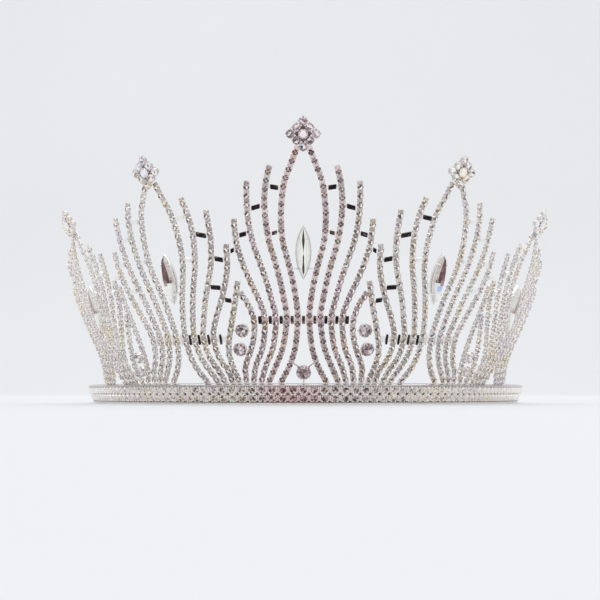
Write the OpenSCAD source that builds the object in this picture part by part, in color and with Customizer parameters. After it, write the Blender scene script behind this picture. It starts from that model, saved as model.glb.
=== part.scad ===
/* [Head band] */
// Radius of the front of the band, seen from above
front_r = 62; // [58:1:66]
// Length of band from its middle to the end of the front arc
front_len = 30; // [28:1:32]
// Radius of the sides of the band
side_r = 82; // [78:1:88]
// Length of band from its middle to the end of the side arc
side_len = 78; // [74:1:80]
// Radius of the back ends of the band
back_r = 170; // [150:5:200]
// Length of band from its middle to its back end
band_len = 121; // [116:1:126]
// Height of the band along its slant
band_h = 6.7; // [6.3:0.1:7.2]
// Depth of the band from its inner face to the front of its rails
band_t = 1.9; // [1.7:0.1:2.1]
// Angle that the crown flares outwards from upright
flare = 19; // [16:0.5:22]

/* [Sprays] */
// Diameter of a strand of small stones
strand_d = 2.0; // [1.8:0.1:2.1]
// Distance along the band from the middle to the side sprays
side_at = 37.5; // [36.5:0.5:38.5]
// Distance along the band from the middle to the far sprays
far_at = 75.5; // [75:0.5:77]
// Slant height of the tip cluster on the centre spray
tip_h = 85; // [83:0.5:88]
// Slant height of the waist on the centre spray
waist_h = 27.5; // [26.5:0.5:28.5]

/* [Stones] */
// Pitch of the stones in a tip cluster
tip_pitch = 2.7; // [2.6:0.05:2.8]
// Length of a marquise stone
marquise_l = 15.6; // [14.8:0.2:16.4]
// Width of a marquise stone
marquise_w = 4.3; // [4.0:0.1:4.6]
// Diameter of the drop stone over the middle of the band
drop_d = 4.5; // [4.2:0.1:4.8]

/* [Wires] */
// Diameter of the wires at the back ends
wire_d = 1.0; // [0.8:0.1:1.2]
// Radius of the bend in each end wire
wire_bend = 17; // [15:1:20]
// Height of an end loop
loop_h = 11; // [10:0.5:12]
// Width of an end loop
loop_w = 7; // [6:0.5:8]

/* [Hidden] */

rad = 180 / PI;
metal = [0.80, 0.80, 0.82];
small_stone = [0.88, 0.87, 0.90];
clear_stone = [0.80, 0.84, 0.92];
round_stone = [0.62, 0.60, 0.68];

// Strands of a spray, on the right of its centre line.
// Columns: slant height on the centre spray, then the distance
// of strands 1 to 4 from the centre line.
STRANDS = [
    [6.95, 7.3, 11.1, 13.5, 15.9],
    [12.5, 4.5, 8.7, 11.9, 15.1],
    [18.5, 2.65, 6.5, 9.6, 12.9],
    [28.0, 1.8, 5.2, 8.6, 12.1],
    [38.0, 2.8, 6.7, 10.9, 15.6],
    [48.0, 5.3, 9.4, 14.3, 19.5],
    [59.0, 6.8, 11.6, 16.9, 21.5],
    [67.0, 6.4, 11.8, 17.3],
    [70.5, undef, 11.3, 17.3],
    [75.0, 4.1, 10.3],
    [81.3, 1.7]];

// The five sprays are one design.
// Columns: distance along the band, waist height, scale of the
// heights above the waist, scale of the widths.
SPRAYS = [
    [0, waist_h, 1.0, 1.0],
    [side_at, 21.4, 0.948, 1.0],
    [far_at, 15.8, 0.83, 0.82]];

// Spacer bars between two strands of a spray.
// Columns: first strand, second strand, height on the centre
// spray, length of the bar along the strands, rise of its outer end.
BARS = [[1, 2, 69, 1.25, 0.6], [1, 2, 55, 1.0, -0.7], [2, 3, 63, 1.25, -1.0], [3, 4, 54.7, 1.25, -0.8]];
SIDE_BARS = [[3, 4, 45.3, 1.2, -0.4]];

// A leaf is two strands round two stones.
// Columns: slant height, place of the short strand, place of the
// tall strand, both as distances along the band.
NEAR_LEAF = [
    [6.95, 17.55, 19.65],
    [12.0, 17.4, 21.2],
    [17.0, 15.5, 22.0],
    [22.0, 14.0, 21.2],
    [27.5, 13.6, 19.8],
    [33.0, 15.0, 18.4],
    [36.0, 16.6, 17.8],
    [39.5, undef, 17.1]];
FAR_LEAF = [
    [6.95, 58.7, 56.6],
    [10.5, 60.8, 55.0],
    [15.0, 61.2, 54.8],
    [20.0, 60.6, 55.1],
    [25.0, 59.5, 55.8],
    [30.5, 58.1, 56.8],
    [35.0, undef, 57.4],
    [39.8, undef, 57.9]];

// Stones of the leaves. Columns: distance along the band, slant
// height, diameter.
NEAR_STONES = [[17.3, 24.1, 4.2], [18.5, 18.0, 4.2]];
FAR_STONES = [[58.0, 15.9, 3.9], [57.9, 11.2, 3.6]];

// The plan of the band's centre line: tangent arcs, as length from
// the middle and radius.
ARCS = [[0, front_len, front_r], [front_len, side_len, side_r], [side_len, 400, back_r]];

function arc_part(a, i) = max(0, min(a, ARCS[i][1]) - ARCS[i][0]);
function turn_to(a, i) = i < 0 ? 0 : turn_to(a, i - 1) + rad * arc_part(a, i) / ARCS[i][2];
function turn(s) = sign(s) * turn_to(abs(s), 2);
function step(a, i) =
    let (t0 = turn_to(a, i - 1), t1 = turn_to(a, i), r = ARCS[i][2])
    r * [sin(t1) - sin(t0), cos(t0) - cos(t1)];
function plan(s) =
    let (p = step(abs(s), 0) + step(abs(s), 1) + step(abs(s), 2))
    [s < 0 ? -p[0] : p[0], p[1]];

// Directions on the flared surface at a distance s along the band:
// along the band, up the slant, and out of the surface.
function along(s) = [cos(turn(s)), sin(turn(s)), 0];
function up(s) = [sin(turn(s)) * sin(flare), -cos(turn(s)) * sin(flare), cos(flare)];
function out(s) = [sin(turn(s)) * cos(flare), -cos(turn(s)) * cos(flare), -sin(flare)];

// Depth of the whole object, so that its box is centred on the origin
wire_z = 4.3;
wire_turn = 62;
wire_run = 5.5;
wire_in = (band_t / 2 + wire_d / 2 + 0.3) / cos(flare);
end_turn = turn(band_len);
wire_start = plan(band_len)
    + (wire_z * tan(flare) - wire_in) * [sin(end_turn), -cos(end_turn)]
    + [cos(end_turn), sin(end_turn)];
wire_out = end_turn + wire_turn;
bend_centre = wire_start - wire_bend * [sin(end_turn), -cos(end_turn)];
bend_end = bend_centre + wire_bend * [sin(wire_out), -cos(wire_out)];
loop_at = bend_end + (wire_run + loop_w / 2) * [cos(wire_out), sin(wire_out)];
tip_reach = sqrt(2) * tip_pitch + 0.6;
stone_front = 1.15;
tip_front = 1.55;
front_y = -(tip_h + tip_reach) * sin(flare) - tip_front * cos(flare);
back_y = loop_at[1] + (loop_w - wire_d) / 2 * sin(wire_out) + wire_d / 2;
mid_y = (front_y + back_y) / 2;

// A point of the surface, s along the band, h up the slant and off
// out of the surface
function on(s, h, off = 0) =
    let (p = plan(s)) [p[0], p[1] - mid_y, 0] + h * up(s) + off * out(s);

// Places local axes on the surface: X along the band, Y up the
// slant, Z outwards
module at(s, h, off = 0) {
    a = along(s);
    u = up(s);
    o = out(s);
    p = on(s, h, off);
    multmatrix([
        [a[0], u[0], o[0], p[0]],
        [a[1], u[1], o[1], p[1]],
        [a[2], u[2], o[2], p[2]],
        [0, 0, 0, 1]])
        children();
}

// Height on spray k of a height h on the centre spray
function spray_h(k, h) =
    h < waist_h
    ? band_h + (h - band_h) * (SPRAYS[k][1] - band_h) / (waist_h - band_h)
    : SPRAYS[k][1] + (h - waist_h) * SPRAYS[k][2];

// Height on the centre spray that lies at a slant height g on spray k
function centre_h(k, g) =
    g < SPRAYS[k][1]
    ? band_h + (g - band_h) * (waist_h - band_h) / (SPRAYS[k][1] - band_h)
    : waist_h + (g - SPRAYS[k][1]) / SPRAYS[k][2];

// Place along the band of a point w from the centre line of spray k,
// at the slant height g
function spray_s(k, w, g) =
    let (c = SPRAYS[k][0], r = k == 0 ? front_r : (side_r + k * 20))
    c + w * SPRAYS[k][3] / (1 + g * sin(flare) / r);

// Distance of strand j from the centre line at a height h
function strand_w(j, h) = lookup(h, [for (r = STRANDS) if (r[j] != undef) [r[0], r[j]]]);

// Points [s, h, off] of strand j on the side d of spray k; the tall
// strands end behind the tip cluster
function strand_path(k, d, j) =
    [for (r = STRANDS) if (r[j] != undef)
        let (g = spray_h(k, r[0])) [spray_s(k, d * r[j], g), g, r[0] > 80 ? -0.6 : 0]];

function unit(v) = v / norm(v);

// A round tube through points, with 8 or fewer sides; a and b are
// the two directions of each of its rings
module tube(points, a, b, d, n) {
    m = len(points);
    rings = [for (i = [0:m - 1]) for (k = [0:n - 1])
        points[i] + d / 2 * (cos(360 * (k + 0.5) / n) * a[i] + sin(360 * (k + 0.5) / n) * b[i])];
    walls = [for (i = [0:m - 2]) for (k = [0:n - 1])
        let (next = (k + 1) % n, q = i * n)
        each [[q + k, q + next, q + n + k], [q + next, q + n + next, q + n + k]]];
    polyhedron(rings, concat(walls,
        [[for (k = [n - 1:-1:0]) k]],
        [[for (k = [0:n - 1]) (m - 1) * n + k]]));
}

function heading(points, i) =
    unit(points[min(i + 1, len(points) - 1)] - points[max(i - 1, 0)]);

// A strand through points [s, h, off] of the surface, with its foot
// cut level
module strand(path) {
    points = [for (p = path) on(p[0], p[1], p[2])];
    outs = [for (p = path) out(p[0])];
    leans = [for (i = [0:len(path) - 1])
        i == 0 ? along(path[0][0]) / (heading(points, 0) * up(path[0][0])) : cross(heading(points, i), outs[i])];
    tube(points, leans, outs, strand_d, strand_sides);
}

// A flat bar between two points [s, h, off] of the surface
module bar(p, q, tall, thick = 0.7) {
    hull() polyhedron([for (e = [p, q]) for (i = [-1, 1]) for (j = [-1, 1])
        on(e[0], e[1] + i * tall / 2, e[2] + j * thick / 2)], [[0, 1, 3, 2], [4, 6, 7, 5]]);
}

// Place of the side of strand j of spray k that faces the next
// strand, on side d and at a centre height h; facing is 1 outwards
// and rise lifts the place
function strand_face(k, d, j, h, facing, rise = 0, off = 0) =
    let (g = spray_h(k, h) + rise, s = spray_s(k, d * strand_w(j, centre_h(k, g)), g))
    [s + d * facing * face_depth, g, off];
face_depth = strand_d / 2 - 0.35;

// Where a link at a slant height g ends, just short of the near
// strand of spray k
function link_end(k, g) = [spray_s(k, -strand_w(4, centre_h(k, g)), g) - strand_d / 2 - link_gap, g, 0];
link_gap = 0.15;
strand_sides = 8;

// The strips at the waists: their lengths along the strands, by spray,
// and how far behind the middle of the strands they lie
WAIST_TALL = [2.4, 3.2, 2.6];
waist_off = -0.3;

// Links from strand 4 of the centre spray and of a side spray.
// Columns: slant height, length along the strand, 1 where it goes to
// the next spray and 0 where it goes to a leaf, rise of the outer end.
LINKS = [[[49.9, 1.25, 1, -0.8], [waist_h, WAIST_TALL[0], 0, 0]], [[43.3, 1.25, 1, 0]]];

// Places of the nine stones of a tip cluster
TIP_SPOTS = [for (i = [-1:1]) for (j = [-1:1])
    tip_pitch / sqrt(2) * [i - j, i + j]];

// One spray of soldered strands: four on each side, a waist strip,
// spacer bars and the cups of the tip cluster
module spray(k) {
    leaf_side = leaf_w(NEAR_LEAF, 1, waist_h) - strand_d / 2 - link_gap;
    color(metal) {
        for (d = [-1, 1]) {
            for (j = [1:4]) strand(strand_path(k, d, j));
            for (j = [1:3])
                bar(strand_face(k, d, j, waist_h, 1, 0, waist_off),
                    strand_face(k, d, j + 1, waist_h, -1, 0, waist_off), WAIST_TALL[k]);
            for (b = concat(BARS, k == 0 ? [] : SIDE_BARS))
                bar(strand_face(k, d, b[0], b[2], 1, -b[4] / 2), strand_face(k, d, b[1], b[2], -1, b[4] / 2), b[3]);
            if (k == 0 || (k == 1 && d == 1)) for (r = LINKS[k]) {
                g = r[0] + r[3] / 2;
                end = r[2] == 1 ? link_end(k + 1, g) : [leaf_side, g, waist_off];
                bar(strand_face(k, d, 4, centre_h(k, r[0]), 1, -r[3] / 2, end[2]),
                    [k == 0 ? d * end[0] : end[0], end[1], end[2]], r[1]);
            }
        }
        bar(strand_face(k, -1, 1, waist_h, -1, 0, waist_off),
            strand_face(k, 1, 1, waist_h, -1, 0, waist_off), WAIST_TALL[k]);
        at(SPRAYS[k][0], spray_h(k, tip_h)) translate([0, 0, tip_front - 2.05]) linear_extrude(1.1)
            for (p = TIP_SPOTS) translate(p) rotate(22.5) circle(d = 3, $fn = 8);
    }
}

// A cut stone: rings of n corners for its table, its girdle and its
// back, each a scaled copy of the outline
module cut_stone(outline, table, crown, back, depth) {
    n = len(outline);
    points = concat(
        [for (p = outline) [p[0] * table, p[1] * table, crown]],
        [for (p = outline) [p[0], p[1], 0]],
        [for (p = outline) [p[0] * back, p[1] * back, -depth]]);
    polyhedron(points, concat(
        [[for (i = [n - 1:-1:0]) i]],
        [for (q = [0, n]) for (i = [0:n - 1]) [q + i, q + (i + 1) % n, q + n + (i + 1) % n, q + n + i]],
        [[for (i = [0:n - 1]) 2 * n + i]]), convexity = 2);
}

function round_outline(d, n) = [for (i = [0:n - 1]) d / 2 * [cos(360 * (i + 0.5) / n), sin(360 * (i + 0.5) / n)]];

// Half width of a marquise of length l and width w at height y
function marquise_half(l, w, y) =
    let (r = (l * l / 4 + w * w / 4) / w) sqrt(r * r - y * y) - r + w / 2;

function marquise_outline(l, w, n) =
    concat([for (i = [0:n]) let (y = -l / 2 + l * i / n) [marquise_half(l, w, y), y]],
        [for (i = [1:n - 1]) let (y = l / 2 - l * i / n) [-marquise_half(l, w, y), y]]);

module round_stone(d, n = 10) {
    color(round_stone) cut_stone(round_outline(d, n), 0.58, d * 0.17, 0.35, d * 0.28);
}

module tip_stones(k) {
    color(small_stone)
    at(SPRAYS[k][0], spray_h(k, tip_h))
        for (p = TIP_SPOTS) translate([p[0], p[1], tip_front - 0.85])
            rotate(22.5) cylinder(d1 = 2.45, d2 = 1.3, h = 0.85, $fn = 8);
}

// Height of the middle of the marquise on spray k
function marquise_h(k) = spray_h(k, 48.6);

module marquise_stone(k) {
    color(clear_stone)
    at(SPRAYS[k][0], marquise_h(k))
        cut_stone(marquise_outline(marquise_l, marquise_w, 6), 0.5, 1.1, 0.3, 1.3);
}

module marquise_plate(grow, low, high) {
    r = (marquise_l * marquise_l / 4 + marquise_w * marquise_w / 4) / marquise_w + grow;
    c = r - marquise_w / 2 - grow;
    translate([0, 0, low]) linear_extrude(high - low) intersection() {
        translate([c, 0]) circle(r, $fn = 120);
        translate([-c, 0]) circle(r, $fn = 120);
    }
}

// The open boat-shaped setting of a marquise, with four claws; the
// lower two reach out to the strands beside them
module marquise_setting(k) {
    claw_y = marquise_l * claw_at;
    claw_x = marquise_half(marquise_l, marquise_w, claw_y) + 0.35;
    strand_x = SPRAYS[k][3] * strand_w(1, centre_h(k, marquise_h(k) - claw_y)) - strand_d / 2;
    foot = max(0.2, strand_x - 0.3 - claw_x);
    color(metal)
    at(SPRAYS[k][0], marquise_h(k)) {
        difference() {
            marquise_plate(0.3, -1.5, -0.15);
            marquise_plate(-0.02, -1.6, 0);
        }
        for (i = [-1, 1]) for (j = [-1, 1])
            translate([i * claw_x, j * claw_y, -1.3]) cylinder(d = 0.5, h = 1.7, $fn = 16);
        for (i = [-1, 1])
            translate([i * (claw_x + foot / 2), -claw_y, -0.1]) cube([foot, 0.4, 0.4], center = true);
    }
}

// Where the claws of a marquise stand, as a share of its length
claw_at = 0.31;

// The cup of a round stone
module cup(d) {
    translate([0, 0, -d * cup_low]) cylinder(d = d * 0.8, h = d * 0.13, $fn = 10);
}
cup_low = 0.45;
cup_mid = 0.4;

module claws(d) {
    for (a = [45:90:315]) rotate(a) hull() polyhedron([
        for (i = [-1, 1]) each [[d * 0.28, i * 0.25, -d * cup_mid], [d / 2 + 0.1, i * 0.25, -0.5],
            [d / 2 + 0.1, i * 0.25, 0.4], [d / 2 + 0.45, i * 0.25, 0.4],
            [d / 2 + 0.45, i * 0.25, -0.6], [d * 0.28 + 0.4, i * 0.25, -d * cup_low]]],
        [[0, 1, 2, 3, 4, 5]]);
}

function leaf_w(table, j, h) = lookup(h, [for (r = table) if (r[j] != undef) [r[0], r[j]]]);

// A leaf: the short and the tall strand, and the cups of its stones
// with a bar to each strand; link is the height of a bar to the side
// spray
module leaf(table, stones, link = 0) {
    color(metal) {
        for (j = [1, 2]) strand([for (r = table) if (r[j] != undef) [r[j], r[0], 0]]);
        for (p = stones) {
            at(p[0], p[1]) cup(p[2]);
            for (j = [1, 2])
                bar([p[0], p[1], -p[2] * cup_mid], [leaf_w(table, j, p[1]), p[1], -0.5], 0.6, 0.3);
        }
        if (link > 0) bar([leaf_w(table, 2, link) + face_depth, link - link_rise / 2, 0],
            link_end(1, link + link_rise / 2), 1.2);
    }
}

module leaf_stone(p) {
    at(p[0], p[1]) round_stone(p[2]);
}

module drop_setting() {
    behind = -drop_d * cup_mid;
    fork_h = drop_height + 2.9;
    fork_s = strand_w(1, fork_h) - strand_d / 2 - 0.7;
    color(metal) {
        at(0, drop_height) {
            cup(drop_d);
            claws(drop_d);
        }
        for (d = [-1, 1])
            drop_wire([d * 0.8, drop_height + 0.8, behind], [d * fork_s, fork_h, -0.6]);
        drop_wire([0, drop_height - 0.8, behind], [0, band_h + 0.4, -0.9]);
    }
}
drop_height = band_h + drop_d / 2 + 1.5;

module drop_wire(p, q) {
    hull() {
        at(p[0], p[1], p[2]) cube(0.5, center = true);
        at(q[0], q[1], q[2]) cube(0.5, center = true);
    }
}

module drop_stone() {
    at(0, drop_height) round_stone(drop_d);
}

// Sweeps a profile, given as corners [out of the surface, up the
// slant], along the band; nothing of it goes below the floor
module band_sweep(profile) {
    n = len(profile);
    m = 2 * ceil(band_len / band_step);
    rings = [for (i = [0:m]) let (s = band_len * (2 * i / m - 1))
        for (p = profile) let (q = on(s, p[1], p[0])) [q[0], q[1], max(0, q[2])]];
    walls = [for (i = [0:m - 1]) for (a = [0:n - 1])
        let (b = (a + 1) % n, q = i * n)
        each [[q + a, q + b, q + n + a], [q + b, q + n + b, q + n + a]]];
    polyhedron(rings, concat(walls,
        [[for (a = [n - 1:-1:0]) a]],
        [[for (a = [0:n - 1]) m * n + a]]));
}
band_step = 8;

rail = 0.5;
half_t = band_t / 2;
floor_cut = half_t * tan(flare);

module base_band() {
    color(metal) band_sweep([
        [half_t, floor_cut], [half_t, floor_cut + rail], [-half_t + 0.5, rail + 0.1],
        [-half_t + 0.5, band_h - rail], [half_t, band_h - rail], [half_t, band_h],
        [-half_t, band_h], [-half_t, -floor_cut]]);
}

// The two rows of stones along the band, as one strip between its rails
module band_stones() {
    low = floor_cut + rail + 0.12;
    high = band_h - rail - 0.12;
    back = -half_t + 0.65;
    color(small_stone) band_sweep([
        [back, low], [0.7, low], [stone_front, low + 0.5], [stone_front, high - 0.5],
        [0.7, high], [back, high]]);
}

// A wire along the inside of the band's end that bends inwards and is
// closed to an upright loop
module end_wire() {
    seat = 8;
    bow = (loop_w - wire_d) / 2;
    tall = loop_h - loop_w;
    low = (loop_h - tall) / 2 + 0.05;
    e = [cos(wire_out), sin(wire_out)];
    near = bend_end + (wire_run + wire_d / 2) * e;
    stem = concat([wire_start - seat * [cos(end_turn), sin(end_turn)], wire_start],
        [for (t = [wire_turn / 6:wire_turn / 6:wire_turn])
            bend_centre + wire_bend * [sin(end_turn + t), -cos(end_turn + t)]],
        [near - 0.9 * e]);
    ring = concat([[0, wire_z - 0.8]],
        [for (t = [0:36:180]) [bow * (1 - cos(t)), low - bow * sin(t)]],
        [for (t = [0:36:180]) [bow * (1 + cos(t)), low + tall + bow * sin(t)]],
        [[0, wire_z + wire_d + 0.15]]);
    points = [for (p = concat([for (q = stem) [q[0], q[1], wire_z]],
        [for (r = ring) let (q = near + r[0] * e) [q[0], q[1], r[1]]])) p - [0, mid_y, 0]];
    across = cross([e[0], e[1], 0], [0, 0, 1]);
    leans = [for (i = [0:len(points) - 1])
        i < len(stem) ? unit(cross(heading(points, min(i, len(stem) - 2)), [0, 0, 1])) : across];
    color(metal) tube(points, leans,
        [for (i = [0:len(points) - 1]) cross(leans[i], heading(points, i))], wire_d, 6);
}

// A plain wire staple on the inside of the band, with round corners
module pin_loop() {
    lift = pin_z * tan(flare) - wire_in;
    path = concat([on_plan(-pin_to, lift)],
        [for (t = [0:45:90]) on_plan(-pin_to + pin_bend * (1 - cos(t)), lift - pin_stand + pin_bend * (1 - sin(t)))],
        [for (t = [90:-45:0]) on_plan(-pin_from - pin_bend * (1 - cos(t)), lift - pin_stand + pin_bend * (1 - sin(t)))],
        [on_plan(-pin_from, lift)]);
    points = [for (p = path) [p[0], p[1], pin_z]];
    leans = [for (i = [0:len(points) - 1]) cross(heading(points, i), [0, 0, 1])];
    color(metal) tube(points, leans, [for (p = points) [0, 0, 1]], wire_d, 6);
}
pin_from = 44;
pin_to = 61;
pin_stand = 5;
pin_bend = 2;
pin_z = 3.6;

// A point of the plan, off outwards from the band's centre line
function on_plan(s, off) = plan(s) + off * [sin(turn(s)), -cos(turn(s))] - [0, mid_y];

near_link = 34;
link_rise = 0.5;
module left() { mirror([1, 0, 0]) children(); }

base_band();
band_stones();
spray(0);  // spray_centre
left() spray(1);  // spray_left
spray(1);  // spray_right
left() spray(2);  // spray_far_left
spray(2);  // spray_far_right
tip_stones(0);  // tip_stones_centre
left() tip_stones(1);  // tip_stones_left
tip_stones(1);  // tip_stones_right
left() tip_stones(2);  // tip_stones_far_left
tip_stones(2);  // tip_stones_far_right
marquise_setting(0);  // marquise_setting_centre
left() marquise_setting(1);  // marquise_setting_left
marquise_setting(1);  // marquise_setting_right
left() marquise_setting(2);  // marquise_setting_far_left
marquise_setting(2);  // marquise_setting_far_right
marquise_stone(0);  // marquise_stone_centre
left() marquise_stone(1);  // marquise_stone_left
marquise_stone(1);  // marquise_stone_right
left() marquise_stone(2);  // marquise_stone_far_left
marquise_stone(2);  // marquise_stone_far_right
left() leaf(NEAR_LEAF, NEAR_STONES, near_link);  // leaf_left
leaf(NEAR_LEAF, NEAR_STONES, near_link);  // leaf_right
left() leaf(FAR_LEAF, FAR_STONES);  // leaf_far_left
leaf(FAR_LEAF, FAR_STONES);  // leaf_far_right
left() leaf_stone(NEAR_STONES[0]);  // leaf_stone_left_upper
left() leaf_stone(NEAR_STONES[1]);  // leaf_stone_left_lower
leaf_stone(NEAR_STONES[0]);  // leaf_stone_right_upper
leaf_stone(NEAR_STONES[1]);  // leaf_stone_right_lower
left() leaf_stone(FAR_STONES[0]);  // leaf_stone_far_left_upper
left() leaf_stone(FAR_STONES[1]);  // leaf_stone_far_left_lower
leaf_stone(FAR_STONES[0]);  // leaf_stone_far_right_upper
leaf_stone(FAR_STONES[1]);  // leaf_stone_far_right_lower
drop_setting();
drop_stone();
left() end_wire();  // end_wire_left
end_wire();  // end_wire_right
pin_loop();
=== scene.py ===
import math
import random
from collections import namedtuple

import bmesh
import bpy
from mathutils import Matrix, Vector


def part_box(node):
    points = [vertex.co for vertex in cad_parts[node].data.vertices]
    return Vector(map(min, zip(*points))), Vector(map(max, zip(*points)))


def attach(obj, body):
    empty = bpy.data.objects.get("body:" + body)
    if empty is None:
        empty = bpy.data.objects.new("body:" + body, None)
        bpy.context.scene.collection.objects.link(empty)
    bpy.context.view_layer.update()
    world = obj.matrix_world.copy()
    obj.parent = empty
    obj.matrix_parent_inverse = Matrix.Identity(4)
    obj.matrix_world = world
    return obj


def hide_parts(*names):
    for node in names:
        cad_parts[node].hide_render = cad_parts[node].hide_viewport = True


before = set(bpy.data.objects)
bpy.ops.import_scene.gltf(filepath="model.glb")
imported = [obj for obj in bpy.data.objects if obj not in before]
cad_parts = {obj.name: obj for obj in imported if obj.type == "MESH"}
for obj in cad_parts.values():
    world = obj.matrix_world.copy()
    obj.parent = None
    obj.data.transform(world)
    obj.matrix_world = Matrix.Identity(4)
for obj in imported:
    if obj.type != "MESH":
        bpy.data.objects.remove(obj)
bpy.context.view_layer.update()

MM = 0.001

# ---------------------------------------------------------------- sizes

FLARE = math.radians(19)
SIN_FLARE, COS_FLARE, TAN_FLARE = math.sin(FLARE), math.cos(FLARE), math.tan(FLARE)
# Arcs of half the band in plan: where each starts and ends, radius
ARCS = [(0, 30, 62), (30, 78, 82), (78, 400, 170)]
BAND_LEN = 121
BAND_H = 6.7
HALF_T = 0.95
RAIL = 0.45
FLOOR_CUT = HALF_T * TAN_FLARE
MID_Y = -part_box("base_band")[0][1] / MM - BAND_H * SIN_FLARE - HALF_T * COS_FLARE
HALF_WIDTH = 83

# Slant heights on the centre spray
WAIST_H = 27.5
MARQUISE_H = 48.6
TIP_H = 85

TIP_PITCH = 2.7
TIP_FRONT = 1.55
TIP_BACK = TIP_FRONT - 2.0
MARQUISE_L, MARQUISE_W = 15.6, 4.3
# Radius of the two arcs of its outline
MARQUISE_R = (MARQUISE_L * MARQUISE_L / 4 + MARQUISE_W * MARQUISE_W / 4) / MARQUISE_W
# How far from its middle its claws stand, as a share of its length
CLAW_AT = 0.31

# Strands of a spray: slant height, then the distance of strands 1 to
# 4 from the centre line
STRANDS = [
    (6.95, 7.3, 11.1, 13.5, 15.9),
    (12.5, 4.5, 8.7, 11.9, 15.1),
    (18.5, 2.65, 6.5, 9.6, 12.9),
    (28.0, 1.8, 5.2, 8.6, 12.1),
    (34.0, 2.3, 6.0, 9.9, 13.9),
    (40.0, 3.3, 7.2, 11.5, 16.6),
    (46.0, 4.7, 8.7, 13.5, 19.0),
    (52.0, 6.2, 10.4, 15.5, 20.7),
    (59.0, 6.8, 11.5, 16.9, 21.5),
    (65.0, 6.5, 11.8, 17.3, None),
    (70.5, 5.7, 11.3, 17.3, None),
    (75.0, 4.1, 10.3, None, None),
    (80.6, 1.9, None, None, None)]
STRAND_R = 1.0
# From this height the two middle strands lean back behind the tip
# cluster: by how much, over what height
LEAN_FROM, LEAN_BY, LEAN_OVER = 75, 0.6, 6

# A spray's place along the band, waist height, scale of the heights
# above the waist, scale of the widths, length of the waist strip, and
# radius of the flared surface that its widths are laid out on
Spray = namedtuple("Spray", "name at waist taller wider strip spread_r")
SPRAYS = [
    Spray("centre", 0, WAIST_H, 1.0, 1.0, 2.4, 62),
    Spray("left", -37.5, 21.4, 0.948, 1.0, 3.2, 102),
    Spray("right", 37.5, 21.4, 0.948, 1.0, 3.2, 102),
    Spray("far_left", -75.5, 15.8, 0.83, 0.82, 2.6, 122),
    Spray("far_right", 75.5, 15.8, 0.83, 0.82, 2.6, 122)]
CENTRE, LEFT, RIGHT, FAR_LEFT, FAR_RIGHT = range(5)

# Spacer bars: first strand, second strand, height on the centre spray,
# length along the strands, rise of the outer end
LOW_BAR_H = 55
BARS = [(1, 2, 69, 1.25, 0.6), (1, 2, LOW_BAR_H, 1.0, -0.7), (2, 3, 63, 1.25, -1.0),
        (3, 4, 54.7, 1.25, -0.8)]
SIDE_BARS = [(3, 4, 45.3, 1.2, -0.4)]
# How far a bar's end lies from the middle line of a strand: of its
# own spray or leaf, and of a neighbouring one
BAR_ROOT, BAR_REACH = 0.6, 1.1
# Heights of the bars between neighbouring sprays: inner end, outer end
CENTRE_LINK = (50.3, 49.5)
FAR_LINK = (43.3, 43.3)

# Slant height, place of the short strand, place of the tall strand
NEAR_LEAF = [
    (6.95, 17.55, 19.65), (12.0, 17.4, 21.2), (17.0, 15.5, 22.0), (22.0, 14.0, 21.2),
    (27.5, 13.6, 19.8), (33.0, 15.0, 18.4), (36.0, 16.6, 17.8), (39.5, None, 17.1)]
FAR_LEAF = [
    (6.95, 58.7, 56.6), (10.5, 60.8, 55.0), (15.0, 61.2, 54.8), (20.0, 60.6, 55.1),
    (25.0, 59.5, 55.8), (30.5, 58.1, 56.8), (35.0, None, 57.4), (39.8, None, 57.9)]
LEAF_BAR_H = 34

# Name, distance along the band, slant height, diameter
NEAR_STONES = [("upper", 17.3, 24.1, 4.2), ("lower", 18.5, 18.0, 4.2)]
FAR_STONES = [("upper", 58.0, 15.9, 3.9), ("lower", 57.9, 11.2, 3.6)]
DROP_D = 4.5
DROP_H = BAND_H + DROP_D / 2 + 1.5

CHAIN_PITCH = 2.7
BAND_PITCH = 3.23
# Distance between the points that a strand is drawn through
LINE_STEP = 0.6

# Wires at the back ends, and the wire staple inside the band
WIRE_D = 1.0
WIRE_Z = 4.3
WIRE_TURN = math.radians(62)
WIRE_RUN = 5.5
WIRE_BEND = 17
WIRE_IN = (HALF_T + WIRE_D / 2 + 0.3) / COS_FLARE
LOOP_H = 11
LOOP_W = 7
PIN_FROM, PIN_TO, PIN_STAND, PIN_BEND, PIN_Z = 44, 61, 5, 2, 3.6

# -------------------------------------------------- the flared surface

# A place on it is s, the distance along the band from its middle, and
# h, the height up the slant. A way is a vector one unit long.


def turn(s):
    """Angle in plan at a distance s along the band."""
    angle = sum(max(0.0, min(abs(s), end) - start) / r for start, end, r in ARCS)
    return math.copysign(angle, s)


def plan(s):
    """Place in plan of the band's centre line."""
    x = y = t = 0.0
    for start, end, r in ARCS:
        t1 = t + max(0.0, min(abs(s), end) - start) / r
        x += r * (math.sin(t1) - math.sin(t))
        y += r * (math.cos(t) - math.cos(t1))
        t = t1
    return Vector((math.copysign(x, s), y - MID_Y, 0))


def along(s):
    """The way along the band."""
    return Vector((math.cos(turn(s)), math.sin(turn(s)), 0))


def flat_out(s):
    """The level way out of the band."""
    return Vector((math.sin(turn(s)), -math.cos(turn(s)), 0))


def up(s):
    """The way up the slant."""
    a = turn(s)
    return Vector((math.sin(a) * SIN_FLARE, -math.cos(a) * SIN_FLARE, COS_FLARE))


def out(s):
    """The way out of the surface, square to its slant."""
    a = turn(s)
    return Vector((math.sin(a) * COS_FLARE, -math.cos(a) * COS_FLARE, -SIN_FLARE))


def on(s, h, off=0.0):
    """A point of the surface, h up its slant and off in front of it."""
    return plan(s) + h * up(s) + off * out(s)


def place(s, h):
    """Matrix in metres with X along the band, Y up the slant and Z
    outwards, for a mesh that is already in metres."""
    m = Matrix((along(s), up(s), out(s))).transposed().to_4x4()
    m.translation = on(s, h) * MM
    return m


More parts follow.
